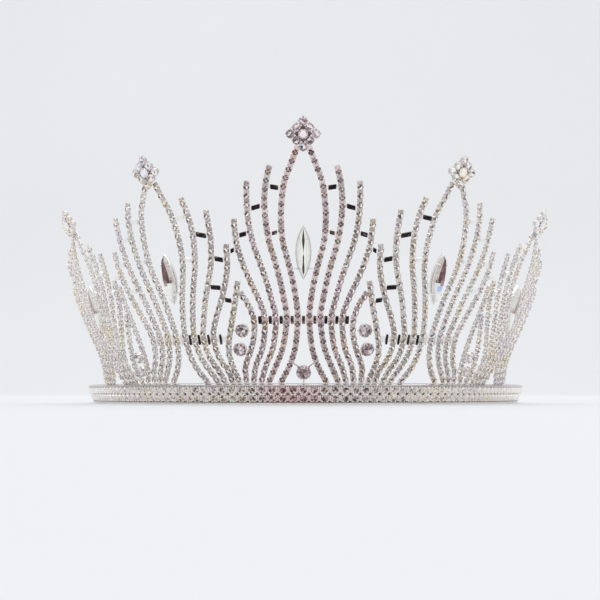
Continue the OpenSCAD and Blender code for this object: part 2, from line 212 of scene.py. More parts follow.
def smooth(rows, h):
    """Value at h of a smooth curve through rows of (h, value)."""
    if h <= rows[0][0]:
        return rows[0][1]
    if h >= rows[-1][0]:
        return rows[-1][1]
    i = max(k for k in range(len(rows) - 1) if rows[k][0] <= h)

    def slope(k):
        a, b = rows[max(k - 1, 0)], rows[min(k + 1, len(rows) - 1)]
        return (b[1] - a[1]) / (b[0] - a[0])

    (h0, v0), (h1, v1) = rows[i], rows[i + 1]
    w = h1 - h0
    t = (h - h0) / w
    return ((2 * t**3 - 3 * t**2 + 1) * v0 + (t**3 - 2 * t**2 + t) * w * slope(i)
            + (3 * t**2 - 2 * t**3) * v1 + (t**3 - t**2) * w * slope(i + 1))


def column_of(table, j):
    """Column j of a table as rows of (height, value), without gaps."""
    return [(row[0], row[j]) for row in table if row[j] is not None]


def heights_of(table, j):
    """Even heights from the foot to the top of strand j of a table."""
    low, high = table[0][0], column_of(table, j)[-1][0]
    steps = int((high - low) / LINE_STEP)
    return [low + (high - low) * i / steps for i in range(steps + 1)]


def strand_w(j, h):
    """Distance of strand j from the centre line of the centre spray."""
    return smooth(column_of(STRANDS, j), h)


def leaf_place(table, j, h):
    """Place along the band of strand j of a leaf on the right."""
    return smooth(column_of(table, j), h)


def spray_h(spray, h):
    """Height on a spray of what lies at h on the centre spray."""
    if h < WAIST_H:
        return BAND_H + (h - BAND_H) * (spray.waist - BAND_H) / (WAIST_H - BAND_H)
    return spray.waist + (h - WAIST_H) * spray.taller


def centre_h(spray, g):
    """Height on the centre spray of what lies at g on a spray."""
    if g < spray.waist:
        return BAND_H + (g - BAND_H) * (WAIST_H - BAND_H) / (spray.waist - BAND_H)
    return WAIST_H + (g - spray.waist) / spray.taller


def spray_s(spray, w, g):
    """Place along the band of what stands w to the right of a spray's
    centre line, at the height g."""
    return spray.at + w * spray.wider / (1 + g * SIN_FLARE / spray.spread_r)


def strand_place(spray, side, j, g):
    """Place along the band of strand j on one side of a spray."""
    return spray_s(spray, side * strand_w(j, centre_h(spray, g)), g)


# ------------------------------------------------------------- meshes


def in_scene(name, data):
    """A new object of the scene."""
    obj = bpy.data.objects.new(name, data)
    bpy.context.scene.collection.objects.link(obj)
    return obj


def finished(name, mesh, slot, *materials, stands_for=None):
    """A finished piece at the origin, which rides on the tiara."""
    obj = in_scene(name, mesh)
    kept = [p.material_index for p in mesh.polygons]
    mesh.materials.clear()
    for m in materials:
        mesh.materials.append(m)
    mesh.polygons.foreach_set("material_index", kept)
    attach(obj, "root")
    if stands_for:
        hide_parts(stands_for)


def rounded(mesh, degrees=40):
    """Smooth shading apart from edges sharper than this."""
    for p in mesh.polygons:
        p.use_smooth = True
    mesh.set_sharp_from_angle(angle=math.radians(degrees))
    return mesh


def moved(mesh, matrix):
    """A mesh with its points turned and moved by a matrix."""
    mesh.transform(matrix)
    return mesh


def joined(*meshes):
    """Several meshes as one. Each face keeps its material's number."""
    bm = bmesh.new()
    for mesh in meshes:
        bm.from_mesh(mesh)
    result = bpy.data.meshes.new("joined")
    bm.to_mesh(result)
    bm.free()
    return result


def as_mesh(bm, name):
    """A mesh in metres, with its faces outwards."""
    bmesh.ops.recalc_face_normals(bm, faces=bm.faces)
    bmesh.ops.scale(bm, vec=(MM, MM, MM), verts=bm.verts)
    mesh = bpy.data.meshes.new(name)
    bm.to_mesh(mesh)
    bm.free()
    return mesh


def on_circle(centre, r, angle):
    """The point of a circle at an angle."""
    return centre[0] + r * math.cos(angle), centre[1] + r * math.sin(angle)


def skin(bm, rings, close_ends=True):
    """Joins rings of points to one closed skin; gives its side faces."""
    rows = [[bm.verts.new(p) for p in ring] for ring in rings]
    n = len(rows[0])
    faces = [bm.faces.new((a[k], a[(k + 1) % n], b[(k + 1) % n], b[k]))
             for a, b in zip(rows, rows[1:]) for k in range(n)]
    if close_ends:
        bm.faces.new(rows[0][::-1])
        bm.faces.new(rows[-1])
    return faces


def lathe(bm, profile, sides, centre):
    """Turns a profile of (radius, height) about Z."""
    turns = [2 * math.pi * k / sides for k in range(sides)]
    skin(bm, [[(*on_circle(centre, r, a), z) for a in turns] for r, z in profile])


def tube(bm, points, d, sides=8):
    """A round wire through points; d is its diameter, or one for each
    point."""
    turns = [2 * math.pi * k / sides for k in range(sides)]
    rings = []
    lean = None
    for i, p in enumerate(points):
        t = (points[min(i + 1, len(points) - 1)] - points[max(i - 1, 0)]).normalized()
        if lean is None:
            lean = t.cross(Vector((0, 0, 1)) if abs(t.z) < 0.9 else Vector((1, 0, 0)))
        lean = (lean - lean.dot(t) * t).normalized()
        rise = t.cross(lean)
        r = (d[i] if isinstance(d, list) else d) / 2
        rings.append([p + r * (math.cos(a) * lean + math.sin(a) * rise) for a in turns])
    skin(bm, rings)


BLOCK_FACES = ((0, 1, 2, 3), (7, 6, 5, 4), (0, 4, 5, 1), (1, 5, 6, 2), (2, 6, 7, 3), (3, 7, 4, 0))


def block(bm, corners):
    """A box of eight corners: four of one end, then four of the other."""
    v = [bm.verts.new(c) for c in corners]
    return [bm.faces.new([v[i] for i in face]) for face in BLOCK_FACES]


def slab(bm, x0, x1, y0, y1, low, high):
    """A box square to the axes, from low to high."""
    end = ((y0, low), (y1, low), (y1, high), (y0, high))
    block(bm, [(x, y, z) for x in (x0, x1) for y, z in end])


def claw(bm, foot, over, wide, low, high):
    """A claw that stands beside a stone at the place foot and bends
    over it to the place over, where it is narrower."""
    foot, over = Vector(foot), Vector(over)
    ex = (foot - over).normalized()
    ey = Vector((-ex.y, ex.x)) * wide / 2
    side = [(foot - 0.12 * ex, low, 1), (foot + 0.22 * ex, low, 1),
            (over + 0.36 * ex, high + 0.1, 0.75), (over, high - 0.06, 0.75)]
    block(bm, [(*(p + i * ey * w), z) for i in (-1, 1) for p, z, w in side])


def cup(bm, d, low, girdle, wide, rise, sides=10, centre=(0, 0), turned=45):
    """A cup with four claws bent over the edge of a stone of diameter
    d. The claws are this wide and rise this far above the girdle."""
    r = d / 2
    lathe(bm, [(r * 0.75, low), (r, (low + girdle) / 2), (r * 1.05, girdle),
               (r * 0.95, girdle + 0.06)], sides, centre)
    for k in range(4):
        a = math.radians(turned + 90 * k)
        e = Vector((math.cos(a), math.sin(a)))
        c = Vector(centre)
        claw(bm, c + e * r * 1.02, c + e * r * 0.72, wide, girdle - 0.35, girdle + rise)


def shade_by_depth(bm, top, low):
    """Marks how deep each face lies, from 0 at top to 1 at low, as
    painted shade: the deeper faces are painted darker. The backs are as
    bright as the fronts."""
    bmesh.ops.recalc_face_normals(bm, faces=bm.faces)
    layer = bm.faces.layers.float.new("shade")
    for f in bm.faces:
        z = f.calc_center_median().z
        f[layer] = 0.0 if f.normal.z < -0.5 else max(0.0, min(1.0, (top - z) / (top - low)))


def tint_and_painted_light_at(p, middle=0.0):
    """The tint and painted light at a point of the tiara: its distance
    from the middle, as a share of half the tiara's width. The paleness
    that it gives towards the sides is painted light."""
    return min(1.0, abs(p.x - middle) / HALF_WIDTH)


def even_tint_and_painted_light(bm, value):
    """Gives a whole piece one tint and painted light."""
    layer = bm.verts.layers.float.new("tint")
    for v in bm.verts:
        v[layer] = value


def stone_layers(bm):
    """What each facet of a stone keeps: its tone of painted reflection,
    from 0 for dark to 1 for pale, the luck of its stone, and its own
    chances."""
    numbers, vectors = bm.faces.layers.float, bm.faces.layers.float_vector
    return [kind.get(name) or kind.new(name)
            for kind, name in ((numbers, "tone"), (numbers, "luck"), (vectors, "chance"))]


def cut_stone(bm, d, n, crown, girdle=0.0, centre=(0, 0), *, core, edge_tone, table=0.58,
              wedge=0, turned=0.0, depth=0.0, luck=0.0, seed=1):
    """A round faceted stone. Its table shows n back facets, its girdle
    has 2 n corners, and depth is that of an open back. The tones are
    painted reflections: core is that of the table and edge_tone that of
    the crown, and the first facets of the table, wedge in all, are
    painted dark."""
    tone, fortune, chance = stone_layers(bm)
    dice = random.Random(seed)

    def ring(count, shift, r, z):
        angles = [turned + 2 * math.pi * (k + shift) / count for k in range(count)]
        return [bm.verts.new((*on_circle(centre, r, a), z)) for a in angles]

    def facet(corners, value):
        f = bm.faces.new(corners)
        f[tone] = value
        f[fortune] = luck
        f[chance] = (dice.random(), dice.random(), dice.random())

    r = d / 2
    heart = bm.verts.new((centre[0], centre[1], girdle + crown))
    top = ring(n, 0, r * table, girdle + crown)
    mid = ring(n, 0.5, r * (table + 1.08) / 2, girdle + crown * 0.56)
    edge = ring(2 * n, 0, r, girdle + 0.03)
    low = ring(2 * n, 0, r, girdle - 0.06)
    for k in range(n):
        k1 = (k + 1) % n
        e0, e1, e2 = 2 * k, 2 * k + 1, (2 * k + 2) % (2 * n)
        facet((heart, top[k], top[k1]), 0.05 if k < wedge else core)
        facet((top[k], mid[k], top[k1]), edge_tone + 0.1)
        facet((mid[k], top[k1], edge[e2]), edge_tone - 0.05)
        facet((mid[k], top[k], edge[e0]), edge_tone - 0.05)
        facet((mid[k], edge[e0], edge[e1]), edge_tone + 0.15)
        facet((mid[k], edge[e1], edge[e2]), edge_tone + 0.15)
        facet((edge[e0], edge[e1], low[e1], low[e0]), 0.7)
        facet((edge[e1], edge[e2], low[e2], low[e1]), 0.7)
    if depth:
        foot = ring(n, 0, r * 0.3, girdle - depth)
        for k in range(n):
            e0, e1, e2 = 2 * k, 2 * k + 1, (2 * k + 2) % (2 * n)
            facet((low[e0], low[e1], foot[k]), 0.4)
            facet((low[e1], low[e2], foot[(k + 1) % n]), 0.4)
            facet((low[e1], foot[(k + 1) % n], foot[k]), 0.4)
        facet(foot[::-1], 0.3)
    else:
        facet(low[::-1], 0.3)


# ------------------------------------------------------------ materials


def feed(tree, node, inputs):
    """Links each input that is given a socket. Any other value is kept
    on the input itself."""
    for key, value in inputs.items():
        if isinstance(value, bpy.types.NodeSocket):
            tree.links.new(value, node.inputs[key])
        else:
            node.inputs[key].default_value = value


def add(tree, kind, inputs=None, **settings):
    """A new node of a tree."""
    node = tree.nodes.new(kind)
    for key, value in settings.items():
        setattr(node, key, value)
    feed(tree, node, inputs or {})
    return node


def maths(tree, operation, *inputs):
    """The result of an operation on numbers or sockets."""
    inputs = dict(enumerate(inputs))
    return add(tree, "ShaderNodeMath", inputs, operation=operation).outputs["Value"]


def mixed(tree, share, a, b, blend="MIX"):
    """The colour a with a share of b, or blended with it."""
    inputs = {0: share, 6: a, 7: b}
    return add(tree, "ShaderNodeMix", inputs, data_type="RGBA", blend_type=blend).outputs[2]


def mark(tree, name):
    """A number that the piece keeps on its faces or points."""
    return add(tree, "ShaderNodeAttribute", attribute_name=name).outputs["Fac"]


def ramp(tree, steps, by):
    """A colour ramp of steps (place, colour)."""
    node = add(tree, "ShaderNodeValToRGB", {"Fac": by})
    points = node.color_ramp.elements
    while len(points) < len(steps):
        points.new(0.5)
    for point, (at, colour) in zip(points, steps):
        point.position = at
        point.color = (*colour, 1)
    return node.outputs["Color"]


def noise(tree, scale, detail=2.0):
    """Fine clouding on the piece itself; scale is in grains a metre."""
    inputs = {"Vector": add(tree, "ShaderNodeTexCoord").outputs["Object"],
              "Scale": scale, "Detail": detail}
    return add(tree, "ShaderNodeTexNoise", inputs).outputs["Fac"]


def material(name, colour, metallic, roughness, **sockets):
    """A new material, its tree and its shader."""
    m = bpy.data.materials.new(name)
    m.use_nodes = True
    shader = m.node_tree.nodes["Principled BSDF"]
    feed(m.node_tree, shader, {"Base Color": (*colour, 1), "Metallic": metallic,
                               "Roughness": roughness})
    feed(m.node_tree, shader, {key.replace("_", " "): value for key, value in sockets.items()})
    return m, m.node_tree, shader


# Grains a metre of the clouds that shift the tint and that paint straw and violet reflections
DRIFT_CLOUDS, HUE_CLOUDS = 85, 170
STRAW_TO_VIOLET = [(0.34, (1.0, 0.95, 0.80)), (0.43, (1, 1, 1)), (0.57, (1, 1, 1)),
                   (0.66, (0.92, 0.91, 1.0))]


def drifting(tree, steps, reach, stray):
    """A colour by the tint and painted light that the piece keeps, which
    slow clouds shift to either side, by up to half the reach. Other
    clouds paint a few stretches with straw or violet reflections, by the
    share stray."""
    inputs = {"Value": noise(tree, DRIFT_CLOUDS, 1), "To Min": -reach / 2, "To Max": reach / 2}
    sway = add(tree, "ShaderNodeMapRange", inputs, clamp=False)
    colour = ramp(tree, steps, maths(tree, "ADD", mark(tree, "tint"), sway.outputs["Result"]))
    if not stray:
        return colour
    hue = ramp(tree, STRAW_TO_VIOLET, noise(tree, HUE_CLOUDS, 1))
    return mixed(tree, stray, colour, hue, "MULTIPLY")


# How much of the painted recess shade goes where the tint and painted light is 1
RECESS_FADE = 0.8


def plating(name, steps, recess_shade, roughness=0.24, reach=0.4, stray=0.0):
    """Plated metal: a drifting tint, a fine casting grain, and painted
    shade in the recesses, where each face says how deep it lies. The
    painted shade fades where the tint and painted light is high."""
    m, tree, shader = material(name, steps[1][1], 1.0, roughness)
    painted_shade = maths(tree, "ADD", mark(tree, "shade"), mark(tree, "luck"))
    painted_shade = ramp(tree, [(0.05, (0, 0, 0)), (0.85, (1, 1, 1))], painted_shade)
    kept = maths(tree, "MULTIPLY_ADD", mark(tree, "tint"), -RECESS_FADE, 1.0)
    painted_shade = maths(tree, "MULTIPLY", painted_shade, kept)
    rough = add(tree, "ShaderNodeMapRange", {
        "Value": noise(tree, 420, 3), "To Min": roughness - 0.1, "To Max": roughness + 0.1})
    bump = add(tree, "ShaderNodeBump", {
        "Height": noise(tree, 1500), "Strength": 0.15, "Distance": 0.00005})
    feed(tree, shader, {
        "Base Color": mixed(tree, painted_shade, drifting(tree, steps, reach, stray), (*recess_shade, 1)),
        "Roughness": rough.outputs["Result"], "Normal": bump.outputs["Normal"]})
    return m


def bar_metal(name, steps):
    """The flat spacer bars, painted nearly black as dark reflections in their metal."""
    m, tree, shader = material(name, steps[0][1], 0.85, 0.35)
    feed(tree, shader, {"Base Color": ramp(tree, steps, noise(tree, 1100))})
    return m


def foiled_stone(name, steps, drift, fire, metallic, spread=0.7, lift=0.0, reach=0.4,
                 stray=0.0, coat=0.8):
    """A cut stone with a mirror behind it. The tone and the chance on
    each facet place it on a scale from dark to pale, as painted
    reflections; a slow drift tints whole stretches, and a few facets, by
    the share fire, flash in painted coloured glints. Spread is that of
    the chance, lift is how much paler the stone is painted, as light, at
    a tint of 1, and coat is its gloss."""
    m, tree, shader = material(name, steps[2][1], metallic, 0.08, IOR=1.6, Coat_Weight=coat,
                               Coat_Roughness=0.03)
    chance = add(tree, "ShaderNodeAttribute", attribute_name="chance").outputs["Vector"]
    dice = add(tree, "ShaderNodeSeparateXYZ", {"Vector": chance}).outputs
    value = mark(tree, "tone")
    for source, by in ((dice["X"], spread), (mark(tree, "luck"), 1.0), (mark(tree, "tint"), lift)):
        value = maths(tree, "MULTIPLY_ADD", source, by, value)
    scale = ramp(tree, steps, maths(tree, "SUBTRACT", value, spread / 2))
    tinted = mixed(tree, 1.0, scale, drifting(tree, drift, reach, stray), "MULTIPLY")
    inputs = {"Color": (0.90, 0.55, 0.50, 1), "Hue": dice["Z"]}
    flash = add(tree, "ShaderNodeHueSaturation", inputs).outputs["Color"]
    flashing = maths(tree, "GREATER_THAN", dice["Y"], 1 - fire)
    feed(tree, shader, {"Base Color": mixed(tree, flashing, tinted, flash)})
    return m


# The tints go from pink in the middle of the tiara to tan, then to
# grey, then to pale at the sides, where the paleness is painted light.
# The colour after the steps of each plating is its painted recess shade.
CHAIN = plating(
    "chain_plating",
    [(0.0, (0.86, 0.72, 0.73)), (0.12, (0.86, 0.75, 0.73)), (0.24, (0.87, 0.82, 0.76)),
     (0.5, (0.90, 0.86, 0.815)), (0.9, (0.98, 0.94, 0.905))],
    (0.12, 0.08, 0.075), stray=0.7)
BRIGHT = plating(
    "bright_plating",
    [(0.2, (0.86, 0.83, 0.82)), (0.8, (0.88, 0.86, 0.84))],
    (0.15, 0.115, 0.11), 0.2)
BAND_CUP = plating(
    "band_cup_plating",
    [(0.0, (1.0, 0.77, 0.77)), (0.09, (1.0, 0.84, 0.83)), (0.13, (0.98, 0.93, 0.89)),
     (0.5, (1.0, 0.96, 0.92))],
    (0.20, 0.155, 0.145), 0.2, reach=0.05)
RIM = plating(
    "rim_plating",
    [(0.2, (0.70, 0.69, 0.65)), (0.8, (0.95, 0.94, 0.92))],
    (0.38, 0.37, 0.36), 0.22)
BLACK_BAR = bar_metal(
    "dark_spacer_metal",
    [(0.45, (0.012, 0.008, 0.009)), (0.62, (0.040, 0.027, 0.027)), (0.76, (0.22, 0.17, 0.17))])
BROWN_BAR = bar_metal(
    "brown_spacer_metal",
    [(0.40, (0.045, 0.024, 0.023)), (0.58, (0.11, 0.065, 0.062)), (0.70, (0.50, 0.40, 0.38))])
STONE = foiled_stone(
    "small_foiled_stone",
    [(0.0, (0.028, 0.016, 0.016)), (0.26, (0.14, 0.088, 0.086)), (0.5, (0.36, 0.28, 0.27)),
     (0.8, (0.78, 0.73, 0.73)), (0.97, (1, 1, 1))],
    [(0.0, (1.0, 0.84, 0.88)), (0.12, (1.0, 0.90, 0.90)), (0.24, (1.0, 0.96, 0.89)),
     (0.5, (1.0, 0.965, 0.91)), (0.9, (1.0, 0.98, 0.94))],
    fire=0.035, metallic=0.4, lift=0.62, stray=1.0)
BAND_STONE = foiled_stone(
    "band_foiled_stone",
    [(0.0, (0.05, 0.035, 0.032)), (0.26, (0.20, 0.155, 0.145)), (0.5, (0.50, 0.44, 0.43)),
     (0.8, (0.90, 0.86, 0.85)), (0.97, (1, 1, 1))],
    [(0.0, (0.95, 0.66, 0.68)), (0.09, (0.98, 0.76, 0.78)), (0.13, (1.0, 0.95, 0.91)),
     (1.0, (1.0, 0.97, 0.93))],
    fire=0.035, metallic=0.35, spread=0.85, lift=0.9, reach=0.05, stray=1.0)
ROUND_STONE = foiled_stone(
    "round_foiled_stone",
    [(0.0, (0.05, 0.035, 0.038)), (0.26, (0.20, 0.155, 0.16)), (0.5, (0.42, 0.36, 0.375)),
     (0.8, (0.80, 0.77, 0.78)), (0.97, (1, 1, 1))],
    [(0.0, (1.0, 0.85, 0.91)), (0.3, (1.0, 0.92, 0.94)), (1.0, (1.0, 0.98, 0.98))],
    fire=0.02, metallic=0.3, spread=0.75, lift=0.75)
# The marquise's drift runs to blue for the painted blue glint of the right one
LONG_STONE = foiled_stone(
    "marquise_cut_stone",
    [(0.0, (0.012, 0.008, 0.008)), (0.25, (0.15, 0.055, 0.058)), (0.5, (0.50, 0.34, 0.34)),
     (0.75, (0.80, 0.80, 0.77)), (0.95, (0.97, 0.97, 0.94))],
    [(0.3, (1, 1, 0.97)), (0.85, (0.36, 0.54, 1.0))],
    fire=0.0, metallic=0.12, spread=0.12, coat=0.2)

# -------------------------------------------------- repeats along paths

ROW_INPUTS = [
    ("Lines", "Geometry"), ("Unit", "Object"), ("Spin", "Float"), ("Tilt", "Float"),
    ("Luck", "Float"), ("Seed", "Int"), ("Finish", "Material")]


def row_tree(name):
    """Geometry Nodes: a copy of one unit at every point of a mesh of
    lines, with X along the line and Z along the line's outward vector.
    Each copy gets its luck and each face its chance."""
    tree = bpy.data.node_groups.new(name, "GeometryNodeTree")
    for label, kind in ROW_INPUTS:
        tree.interface.new_socket(label, in_out="INPUT", socket_type="NodeSocket" + kind)
    tree.interface.new_socket("Row", in_out="OUTPUT", socket_type="NodeSocketGeometry")
    given = add(tree, "NodeGroupInput").outputs

    def either_way(limit):
        """A random number from minus the limit to the limit."""
        less = maths(tree, "MULTIPLY", given[limit], -1)
        inputs = {2: less, 3: given[limit], "Seed": given["Seed"]}
        return add(tree, "FunctionNodeRandomValue", inputs, data_type="FLOAT").outputs[1]

    def store(label, kind, domain, geometry, value):
        inputs = {"Name": label, "Geometry": geometry, "Value": value}
        return add(tree, "GeometryNodeStoreNamedAttribute", inputs, data_type=kind,
                   domain=domain).outputs["Geometry"]

    curve = add(tree, "GeometryNodeMeshToCurve", {"Mesh": given["Lines"]})
    outward = add(tree, "GeometryNodeInputNamedAttribute", {"Name": "outward"},
                  data_type="FLOAT_VECTOR")
    face_out = add(tree, "FunctionNodeAlignRotationToVector",
                   {"Vector": outward.outputs["Attribute"]}, axis="Z")
    follow = add(tree, "FunctionNodeAlignRotationToVector", {
        "Rotation": face_out.outputs["Rotation"],
        "Vector": add(tree, "GeometryNodeInputTangent").outputs["Tangent"]},
        axis="X", pivot_axis="Z")
    tilt = either_way("Tilt")
    angles = add(tree, "ShaderNodeCombineXYZ", {"X": tilt, "Y": tilt, "Z": either_way("Spin")})
    own = add(tree, "FunctionNodeEulerToRotation", {"Euler": angles.outputs["Vector"]})
    turned = add(tree, "FunctionNodeRotateRotation", {
        "Rotation": follow.outputs["Rotation"], "Rotate By": own.outputs["Rotation"]},
        rotation_space="LOCAL")
    unit = add(tree, "GeometryNodeObjectInfo", {"Object": given["Unit"]})
    copies = add(tree, "GeometryNodeInstanceOnPoints", {
        "Points": curve.outputs["Curve"], "Instance": unit.outputs["Geometry"],
        "Rotation": turned.outputs["Rotation"]})
    lucky = store("luck", "FLOAT", "INSTANCE", copies.outputs["Instances"], either_way("Luck"))
    real = add(tree, "GeometryNodeRealizeInstances", {"Geometry": lucky})
    dice = add(tree, "FunctionNodeRandomValue", {"Seed": given["Seed"]}, data_type="FLOAT_VECTOR")
    chances = store("chance", "FLOAT_VECTOR", "FACE", real.outputs["Geometry"], dice.outputs[0])
    finish = add(tree, "GeometryNodeSetMaterial", {
        "Geometry": chances, "Material": given["Finish"]})
    add(tree, "NodeGroupOutput", {"Row": finish.outputs["Geometry"]})
    return tree


ROW = row_tree("row_along_lines")


def row_of(lines, tints_and_painted_light, unit, finish, spin=0.0, tilt=0.0, luck=0.0, seed=3):
    """A plain mesh of copies of unit along lines, each a list of
    (point, outward) with one copy to a point. A line's tints are its
    tint and painted light at each of its points."""
    mesh = bpy.data.meshes.new("lines")
    points, edges, outs = [], [], []
    for line in lines:
        first = len(points)
        points += [p * MM for p, _ in line]
        outs += [o for _, o in line]
        edges += [(first + i, first + i + 1) for i in range(len(line) - 1)]
    mesh.from_pydata(points, edges, [])
    attribute = mesh.attributes.new("outward", "FLOAT_VECTOR", "POINT")
    attribute.data.foreach_set("vector", [c for o in outs for c in o])
    attribute = mesh.attributes.new("tint", "FLOAT", "POINT")
    attribute.data.foreach_set("value", [c for line in tints_and_painted_light for c in line])
    holder, template = in_scene("holder", mesh), in_scene("template", unit)
    modifier = holder.modifiers.new("Row", "NODES")
    modifier.node_group = ROW
    names = {item.name: item.identifier for item in ROW.interface.items_tree
             if item.in_out == "INPUT"}
    for key, value in (("Unit", template), ("Spin", spin), ("Tilt", tilt), ("Luck", luck),
                       ("Seed", seed), ("Finish", finish)):
        modifier[names[key]] = value
    shown = holder.evaluated_get(bpy.context.evaluated_depsgraph_get())
    result = bpy.data.meshes.new_from_object(shown)
    result.polygons.foreach_set("material_index", [0] * len(result.polygons))
    for o in (holder, template):
        bpy.data.objects.remove(o)
    bpy.data.meshes.remove(mesh)
    return result


def even(points, pitch, count=None):
    """Evenly spaced places on a line of (point, outward), from half a
    pitch in to half a pitch before its end."""
    lengths = [0.0]
    for (a, _), (b, _) in zip(points, points[1:]):
        lengths.append(lengths[-1] + (b - a).length)
    total = lengths[-1]
    count = count or max(2, round(total / pitch))
    own = total / count
    result = []
    for k in range(count):
        at = own * (0.5 + k)
        i = max(j for j in range(len(lengths) - 1) if lengths[j] <= at)
        t = (at - lengths[i]) / (lengths[i + 1] - lengths[i])
        (p, o), (p1, o1) = points[i], points[i + 1]
        result.append((p.lerp(p1, t), o.lerp(o1, t).normalized()))
    return result


def strand_line(spray, side, j):
    """Strand j on one side of a spray, as a line of (point, outward)."""
    line = []
    for h in heights_of(STRANDS, j):
        g = spray_h(spray, h)
        lean = max(0.0, min(1.0, (h - LEAN_FROM) / LEAN_OVER)) if j == 1 else 0.0
        s = spray_s(spray, side * strand_w(j, h), g)
        line.append((on(s, g, -LEAN_BY * lean), out(s)))
    return line


def leaf_line(table, side, j):
    """Strand j of a leaf, as a line of (point, outward)."""
    places = [(side * leaf_place(table, j, h), h) for h in heights_of(table, j)]
    return [(on(s, h), out(s)) for s, h in places]


CHAIN_STONE_D = 1.94


def chain_cup(width, top, low):
    """One cup of the chain with its four claws, and its link, which has
    this width and this top. Faces at the height low are painted darkest,
    as shade."""
    bm = bmesh.new()
    cup(bm, CHAIN_STONE_D, -0.8, 0.12, wide=0.5, rise=0.34)
    slab(bm, 0.8, 1.9, -width / 2, width / 2, -0.45, top)
    shade_by_depth(bm, 0.16, low)
    return as_mesh(bm, "chain_cup")


def one_stone(name, d, n, crown, girdle, **looks):
    """A cut stone for a row, with its middle at the origin."""
    bm = bmesh.new()
    cut_stone(bm, d, n, crown, girdle, **looks)
    return as_mesh(bm, name)


# A square collar with cut corners: its corners, how much longer it is
# than wide, and its half widths and heights from the bottom up
COLLAR = [(1, 0.6), (0.6, 1), (-0.6, 1), (-1, 0.6), (-1, -0.6), (-0.6, -1), (0.6, -1), (1, -0.6)]
COLLAR_STRETCH = 1.14
COLLAR_RINGS = ((1.39, -0.2), (1.405, 0.24), (1.26, 0.34))


def band_cup():
    """A cup of the band with its collar, which nearly meets the next."""
    bm = bmesh.new()
    cup(bm, 2.66, -0.35, 0.55, wide=0.6, rise=0.34)
    skin(bm, [[(COLLAR_STRETCH * r * x, r * y, z) for x, y in COLLAR] for r, z in COLLAR_RINGS])
    shade_by_depth(bm, 0.25, -0.2)
    return as_mesh(bm, "band_cup")


# Kinds of chain, the same chain painted for how light falls on it:
# pale links between dark stones, or half dark stones with a painted
# glint and grey links, deeper in painted shade, between them
DARK_STONES, HALF_STONES = 0, 1
CHAIN_CUPS = [chain_cup(1.8, 0.0, -0.3), chain_cup(1.7, -0.1, -0.32)]
CHAIN_STONES = [
    one_stone("chain_stone_dark", CHAIN_STONE_D, 6, 0.38, 0.16, core=0.36, edge_tone=0.12,
              table=0.5),
    one_stone("chain_stone_half", CHAIN_STONE_D, 6, 0.38, 0.16, core=1.0, edge_tone=0.18,
              table=0.66, wedge=3)]
# How far the stones of each kind are turned at random, to either side
CHAIN_SPINS = [math.pi, 0.9]


def chains(name, strands, extra, stands_for, seed, *finishes):
    """Cup chain along strands of (line, kind of chain). Its metal is
    one piece with its feet and the extra meshes, and its stones are
    another. The extra meshes may use more finishes than the chain's."""
    metal, stones = [*extra, feet([line for line, _ in strands])], []
    for kind in sorted({of_kind for _, of_kind in strands}):
        lines = [line for line, of_kind in strands if of_kind == kind]
        tints_and_painted_light = [[tint_and_painted_light_at(p) for p, _ in line] for line in lines]
        cups = row_of(lines, tints_and_painted_light, CHAIN_CUPS[kind], CHAIN, luck=0.2, seed=seed + kind)
        metal.append(rounded(cups))
        stones.append(row_of(lines, tints_and_painted_light, CHAIN_STONES[kind], STONE, CHAIN_SPINS[kind], 0.08,
                             0.2, seed + kind))
    finished(name + "_chain", joined(*metal), "plated_metal", CHAIN, *finishes,
             stands_for=stands_for)
    finished(name + "_stones", joined(*stones), "small_stones", STONE)


def ways(p, after, outward):
    """The ways along and across a line, between two of its points."""
    t = (after - p).normalized()
    return t, t.cross(outward).normalized()


def prongs(lines):
    """Two short prongs on the last cup of each line."""
    bm = bmesh.new()
    for line in lines:
        (before, _), (p, o) = line[-2:]
        t, across = ways(before, p, o)
        for i in (-1, 1):
            bend = ((1.2, 0.5, -0.2), (1.5, 0.6, 0.15), (1.85, 0.72, 0.3))
            tube(bm, [p + a * t + b * i * across + c * o for a, b, c in bend], 0.36, 6)
    even_tint_and_painted_light(bm, tint_and_painted_light_at(lines[0][0][0]))
    return rounded(as_mesh(bm, "prongs"))


def feet(lines):
    """The flat foot of each line, from its first cup to the band."""
    bm = bmesh.new()
    layer = bm.verts.layers.float.new("tint")
    end = ((-1, -0.45), (1, -0.45), (1, -0.1), (-1, -0.1))
    for line in lines:
        (p, o), (after, _) = line[:2]
        t, across = ways(p, after, o)
        for f in block(bm, [p + a * t + 0.85 * i * across + b * o for a in (-0.7, -1.5)
                            for i, b in end]):
            for v in f.verts:
                v[layer] = tint_and_painted_light_at(p)
    return as_mesh(bm, "feet")


# --------------------------------------------------------- the head band

# The middle of the pink stretch of the band
PINK_AT = -3.5
# Half the distance between the two rows of stones
ROW_OFF = 1.42


